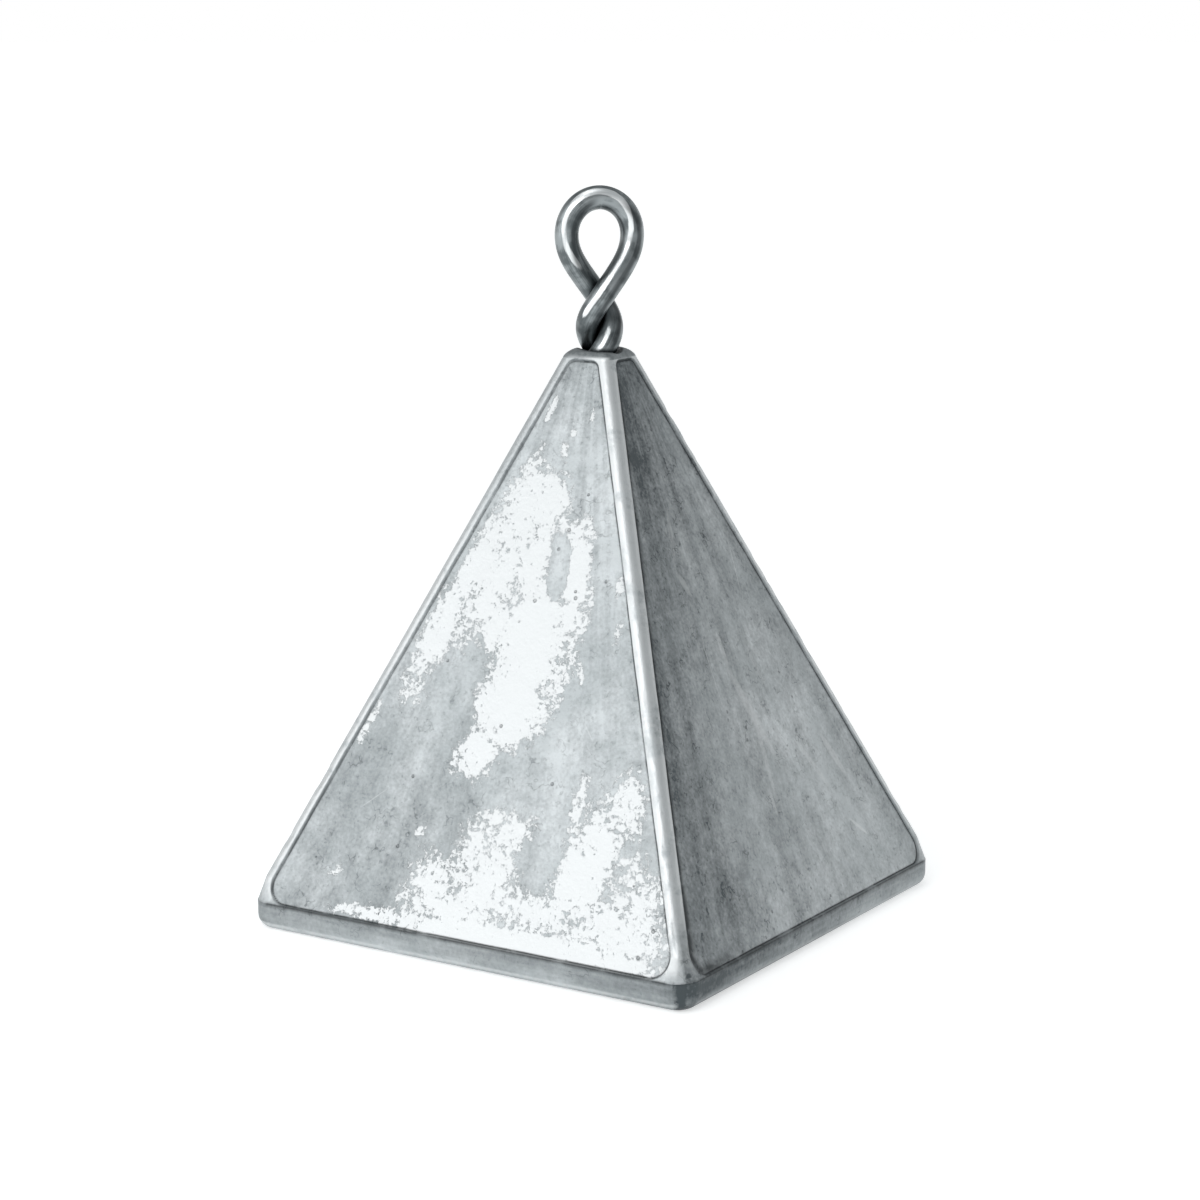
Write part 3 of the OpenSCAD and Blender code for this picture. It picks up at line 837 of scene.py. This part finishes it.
def makeCastLead():
    # cast lead, gravity poured: a soft, cloudy grey skin of oxide, with bright metal where it is rubbed;
    # its tarnish also carries painted shade, and its worn edges a painted highlight
    look = castLeadFinish
    masks = look["masks"]
    material, tree = newMaterial("castLead")
    place = addNode(tree, "TexCoord", output="Object")
    layers = {}
    for name, (size, detail, roughness) in look["noises"].items():
        layers[name] = addNode(tree, "TexNoise", {"Vector": place, "Scale": 1 / (size * mm),
                                                  "Detail": detail, "Roughness": roughness})
    worn, tarnishAndShade, grooveDirtAndShade, wearAndHighlight = (addNode(tree, "Attribute", output="Fac", attribute_name=name)
                               for name in ("worn", "tarnishAndShade", "grooveDirtAndShade", "wearAndHighlight"))

    # soft streaks that fan out down each face from the apex, and strokes that run level along the band
    wide, long = look["streak"]
    fan = addNode(tree, "Mapping", {"Vector": addNode(tree, "UVMap", uv_map="along"),
                                    "Scale": (half / wide, 1 / long, 1)})
    streak = addNode(tree, "TexNoise", {"Vector": fan, "Scale": 1.0, "Detail": 6, "Roughness": 0.62})
    long, high = look["bandStroke"]
    level = addNode(tree, "Mapping", {"Vector": place,
                                      "Scale": (1 / (long * mm), 1 / (long * mm), 1 / (high * mm))})
    stroke = addNode(tree, "TexNoise", {"Vector": level, "Scale": 1.0, "Detail": 4})
    height = addNode(tree, "SeparateXYZ", {0: place}, output="Z")
    onFace = addNode(tree, "MapRange", {"Value": height, "From Min": (lead["band"] - 0.05) * mm,
                                        "From Max": (lead["band"] + 0.1) * mm}, **eased)
    layers["fan"] = addNode(tree, "Mix", {0: onFace, 2: stroke, 3: streak})

    # each scratch is a thin lens that the face cuts through
    scratch = 0.0
    for number, across, z, length, tilt, width, strength in look["scratches"]:
        turn = math.radians(90 * number)
        lens = addNode(tree, "Mapping", {
            "Vector": place, "Location": Matrix.Rotation(turn, 3, "Z") @ Vector((faceX(z), across, z)) * mm,
            "Rotation": (math.radians(-tilt), -lean, turn),
            "Scale": (look["lensDepth"] * mm, width * mm, length * mm),
        }, vector_type="TEXTURE")
        size = addNode(tree, "VectorMath", {0: lens}, output="Value", operation="LENGTH")
        mark = addNode(tree, "MapRange", {"Value": size, "From Min": 1.0, "From Max": 0.6,
                                          "To Max": strength}, **eased)
        scratch = addNode(tree, "Math", {0: scratch, 1: mark}, operation="MAXIMUM")

    # rubbed patches break up into flakes at their edges
    ragged = worn
    for name, weight in look["flakes"].items():
        ragged = addNode(tree, "Math", {0: layers[name], 1: weight, 2: ragged}, operation="MULTIPLY_ADD")
    middle = sum(look["flakes"].values()) / 2
    bright = addNode(tree, "MapRange", {"Value": ragged, "From Min": middle + look["flakeEdge"][0],
                                        "From Max": middle + look["flakeEdge"][1]}, **eased)
    # sparse pits, in some of the clouds and not on the edges
    cells = addNode(tree, "TexVoronoi", {"Vector": place, "Scale": 1 / (look["pitSpacing"] * mm)})
    hole = addNode(tree, "MapRange", {"Value": cells, "From Min": look["pitEdge"][0] / look["pitSpacing"],
                                      "From Max": look["pitEdge"][1] / look["pitSpacing"]}, **eased)
    pitted = addNode(tree, "MapRange", {"Value": layers["cloud"], **masks["pitted"]}, **eased)
    unworn = addNode(tree, "Math", {0: 1.0, 1: wearAndHighlight}, operation="SUBTRACT")
    pit = addNode(tree, "Math", {0: hole, 1: pitted}, operation="MULTIPLY")
    pit = addNode(tree, "Math", {0: pit, 1: unworn}, operation="MULTIPLY")

    # thin, short flow lines of the skin, along one height of a noise, and dark grains
    offset = addNode(tree, "Math", {0: layers["flow"], 1: 0.5}, operation="SUBTRACT")
    offset = addNode(tree, "Math", {0: offset}, operation="ABSOLUTE")
    thin = addNode(tree, "MapRange", {"Value": offset, **masks["flowLine"]}, **eased)
    some = addNode(tree, "MapRange", {"Value": layers["smudge"], **masks["flowPlace"]}, **eased)
    flowLine = addNode(tree, "Math", {0: thin, 1: some}, operation="MULTIPLY")
    grains = addNode(tree, "MapRange", {"Value": layers["fine"], **masks["grains"]}, **eased)
    layers.update(flowLine=flowLine, grains=grains, pit=pit, bright=bright)
    shade = tarnishAndShade
    for name, weight in {**look["shades"], **look["marks"]}.items():
        shade = addNode(tree, "Math", {0: layers[name], 1: weight, 2: shade}, operation="MULTIPLY_ADD")
    middle = sum(look["shades"].values()) / 2
    # the band round the base is smoother and less clouded
    quiet = addNode(tree, "Math", {0: tarnishAndShade, 1: middle}, operation="ADD")
    calm = addNode(tree, "MapRange", {"Value": onFace, "To Min": look["bandCalm"], "To Max": 0.0})
    shade = addNode(tree, "Mix", {0: calm, 2: shade, 3: quiet})
    tarnishedAndShaded = addNode(tree, "MapRange", {"Value": shade, "From Min": middle,
                                           "From Max": middle + look["tarnishAndShadeRange"]})

    # the dirt and painted shade in the grooves and the recess, and the worn shine and painted highlight of
    # the edges, are broken here and there
    dirtAndShade = addNode(tree, "MapRange", {"Value": layers["smudge"], **masks["dirtAndShade"]}, **eased)
    dirtAndShade = addNode(tree, "Math", {0: grooveDirtAndShade, 1: dirtAndShade}, operation="MULTIPLY")
    edge = addNode(tree, "MapRange", {"Value": layers["smudge"], **masks["edge"]}, **eased)
    edge = addNode(tree, "Math", {0: wearAndHighlight, 1: edge}, operation="MULTIPLY")
    pitShade = addNode(tree, "Math", {0: pit, 1: look["pitShade"]}, operation="MULTIPLY")
    cloudy = addNode(tree, "MapRange", {"Value": layers["cloud"], **masks["cloudy"]}, **eased)
    base = linearColour(look["plain"])
    for share, colour in ((cloudy, "pale"), (tarnishedAndShaded, "tarnishAndShadeColour"), (edge, "edge"), (bright, "rubbed"),
                          (scratch, "edge"), (pitShade, "pit"), (dirtAndShade, "grooveDirtAndShade")):
        base = addNode(tree, "Mix", {0: share, 6: base, 7: linearColour(look[colour])}, output=2,
                       data_type="RGBA")

    shiny = addNode(tree, "Math", {0: edge, 1: 0.7}, operation="MULTIPLY")
    shiny = addNode(tree, "Math", {0: bright, 1: shiny}, operation="MAXIMUM")
    rough = addNode(tree, "MapRange", {"Value": shiny, "To Min": look["roughness"],
                                       "To Max": look["rubbedRoughness"]})
    relief = 0.0
    for name, depth in look["heights"].items():
        relief = addNode(tree, "Math", {0: layers[name], 1: depth, 2: relief}, operation="MULTIPLY_ADD")
    bump = addNode(tree, "Bump", {"Height": relief, "Distance": mm, "Strength": 1.0})
    shader = addNode(tree, "BsdfPrincipled", {"Base Color": base, "Roughness": rough,
                                              "Metallic": look["metallic"], "Normal": bump})
    addNode(tree, "OutputMaterial", {"Surface": shader})
    return material


steelWireFinish = {
    # rubbed is the colour of the painted highlight line
    "rubbed": "#eff2f3",
    "dull": "#979d9f",
    "stain": "#666c6e",
    # grimeAndShade is the colour of the grime and the painted shade
    "grimeAndShade": "#272b2d",
    "metallic": 1.0,
    "roughness": (0.27, 0.42),
    # sizes in mm: drawing lines are about 0.02 mm apart, drawn as 0.12 mm so that they show
    "drawLine": 0.12,
    "lineLength": 6.25,
    "lineHeight": 0.006,
    "cloudSize": 1.1,
    # how far the noises break the painted highlight lines, and where these start and are full
    "highlightBreak": 0.06,
    "highlightMask": {"From Min": 1.024, "From Max": 1.052},
    # how far the drawing lines move the stain, and where it starts and is full
    "stainBreak": 0.4,
    "stainMask": {"From Min": 0.6, "From Max": 0.85},
}


def makeSteelWire():
    # drawn steel wire: fine lines along its length, dulled by salt water, with a painted highlight line
    # along one side, and grime and painted shade
    look = steelWireFinish
    material, tree = newMaterial("drawnSteelWire")
    place = addNode(tree, "TexCoord", output="Object")
    around = math.pi * wire["diameter"]
    lines = addNode(tree, "Mapping", {"Vector": addNode(tree, "UVMap", uv_map="along"),
                                      "Scale": (around / look["drawLine"], 1 / look["lineLength"], 1)})
    streak = addNode(tree, "TexNoise", {"Vector": lines, "Scale": 1.0, "Detail": 4})
    cloud = addNode(tree, "TexNoise", {"Vector": place, "Scale": 1 / (look["cloudSize"] * mm), "Detail": 6})
    grimeAndShade, line = (addNode(tree, "Attribute", output="Fac", attribute_name=name)
                   for name in ("grimeAndShade", "rubbed"))
    for layer in (cloud, streak):
        line = addNode(tree, "Math", {0: layer, 1: look["highlightBreak"], 2: line}, operation="MULTIPLY_ADD")
    line = addNode(tree, "MapRange", {"Value": line, **look["highlightMask"]}, **eased)
    stained = addNode(tree, "Math", {0: streak, 1: look["stainBreak"], 2: cloud}, operation="MULTIPLY_ADD")
    stained = addNode(tree, "MapRange", {"Value": stained, **look["stainMask"]}, **eased)
    base = linearColour(look["dull"])
    for share, colour in ((stained, "stain"), (line, "rubbed"), (grimeAndShade, "grimeAndShade")):
        base = addNode(tree, "Mix", {0: share, 6: base, 7: linearColour(look[colour])}, output=2,
                       data_type="RGBA")
    smoothest, roughest = look["roughness"]
    rough = addNode(tree, "MapRange", {"Value": streak, "From Min": 0.3, "From Max": 0.7,
                                       "To Min": smoothest, "To Max": roughest})
    bump = addNode(tree, "Bump", {"Height": streak, "Distance": look["lineHeight"] * mm, "Strength": 1.0})
    shader = addNode(tree, "BsdfPrincipled", {"Base Color": base, "Roughness": rough,
                                              "Metallic": look["metallic"], "Normal": bump})
    addNode(tree, "OutputMaterial", {"Surface": shader})
    return material


casting.data.materials.append(makeCastLead())
wireEye.data.materials.append(makeSteelWire())
for piece, node, finish in ((casting, "lead_body", "cast_lead"), (wireEye, "wire_eye", "steel_wire")):
    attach(piece, "root")
    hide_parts(node)
print("materials set")


# Studio: a pale floor, three soft lamps and a weak one behind, in an even grey room

studio = {
    "floorColour": "#e4e6e6",
    # lengths in metres
    "floorRadius": 6.0,
    "floorSides": 64,
    # the floor's own glow near the sinker and far away, and from where to where it grows
    "floorGlow": 0.53,
    "farGlow": 0.8,
    "glowReach": (0.1, 1.4),
    "room": "#b5b7b8",
    "background": "#ffffff",
    # the metal sees a greyer ceiling, from one height of a ray's way to the other
    "overhead": "#a0a3a4",
    "ceiling": {"From Min": 0.12, "From Max": 0.4},
    # azimuth, elevation, distance, width, height and power of each lamp
    "lamps": {
        "leftSoftbox": (-38, 23, 0.55, 0.44, 0.42, 0.62),
        "frontSoftbox": (6, 38, 0.6, 0.32, 0.24, 0.74),
        "topSoftbox": (0, 78, 0.6, 0.3, 0.26, 0.36),
        "backFill": (150, 35, 0.8, 0.4, 0.3, 0.15),
    },
}


def seenRays(tree):
    # 1 for camera, glossy and transmission rays
    total = 0.0
    for name in ("Is Camera Ray", "Is Glossy Ray", "Is Transmission Ray"):
        seen = addNode(tree, "LightPath", output=name)
        total = addNode(tree, "Math", {0: total, 1: seen}, operation="MAXIMUM")
    return total


def makeFloor():
    mesh = bpy.data.meshes.new("floor")
    sides = studio["floorSides"]
    turns = [2 * math.pi * i / sides for i in range(sides)]
    ring = [(studio["floorRadius"] * math.cos(t), studio["floorRadius"] * math.sin(t), 0) for t in turns]
    mesh.from_pydata(ring, [], [tuple(range(sides))])
    floor = bpy.data.objects.new("floor", mesh)
    bpy.context.collection.objects.link(floor)
    material, tree = newMaterial("paleFloor")
    away = addNode(tree, "VectorMath", {0: addNode(tree, "TexCoord", output="Object")}, output="Value",
                   operation="LENGTH")
    glow = addNode(tree, "MapRange", {"Value": away, "From Min": studio["glowReach"][0],
                                      "From Max": studio["glowReach"][1], "To Min": studio["floorGlow"],
                                      "To Max": studio["farGlow"]}, **eased)
    strength = addNode(tree, "Math", {0: glow, 1: seenRays(tree)}, operation="MULTIPLY")
    paint = addNode(tree, "BsdfDiffuse", {"Color": linearColour(studio["floorColour"])})
    light = addNode(tree, "Emission", {"Strength": strength})
    addNode(tree, "OutputMaterial", {"Surface": addNode(tree, "AddShader", {0: paint, 1: light})})
    mesh.materials.append(material)


def makeWorld():
    world = bpy.data.worlds.new("studio")
    world.use_nodes = True
    tree = world.node_tree
    tree.nodes.clear()
    way = addNode(tree, "TexCoord", output="Generated")
    rise = addNode(tree, "SeparateXYZ", {0: way}, output="Z")
    above = addNode(tree, "MapRange", {"Value": rise, **studio["ceiling"]}, **eased)
    # the camera sees white all round
    above = addNode(tree, "Mix", {0: addNode(tree, "LightPath", output="Is Camera Ray"), 2: above, 3: 0.0})
    sky = addNode(tree, "Mix", {0: above, 6: linearColour(studio["background"]),
                                7: linearColour(studio["overhead"])}, output=2, data_type="RGBA")
    room = addNode(tree, "Background", {"Color": linearColour(studio["room"]), "Strength": 1.0})
    seen = addNode(tree, "Background", {"Color": sky, "Strength": 1.0})
    both = addNode(tree, "MixShader", {0: seenRays(tree), 1: room, 2: seen})
    addNode(tree, "OutputWorld", {"Surface": both})
    bpy.context.scene.world = world


def makeLamps():
    aim = Vector((0, 0, castHeight / 2 * mm))
    for name, (azimuth, elevation, distance, width, height, power) in studio["lamps"].items():
        data = bpy.data.lights.new(name, "AREA")
        data.shape = "RECTANGLE"
        data.size, data.size_y = width, height
        data.energy = power
        lamp = bpy.data.objects.new(name, data)
        way = facing(azimuth, elevation)
        lamp.location = aim + way * distance
        lamp.rotation_euler = (-way).to_track_quat("-Z", "Y").to_euler()
        bpy.context.collection.objects.link(lamp)


makeFloor()
makeWorld()
makeLamps()
bpy.context.scene.view_settings.view_transform = "Standard"
print("studio set")
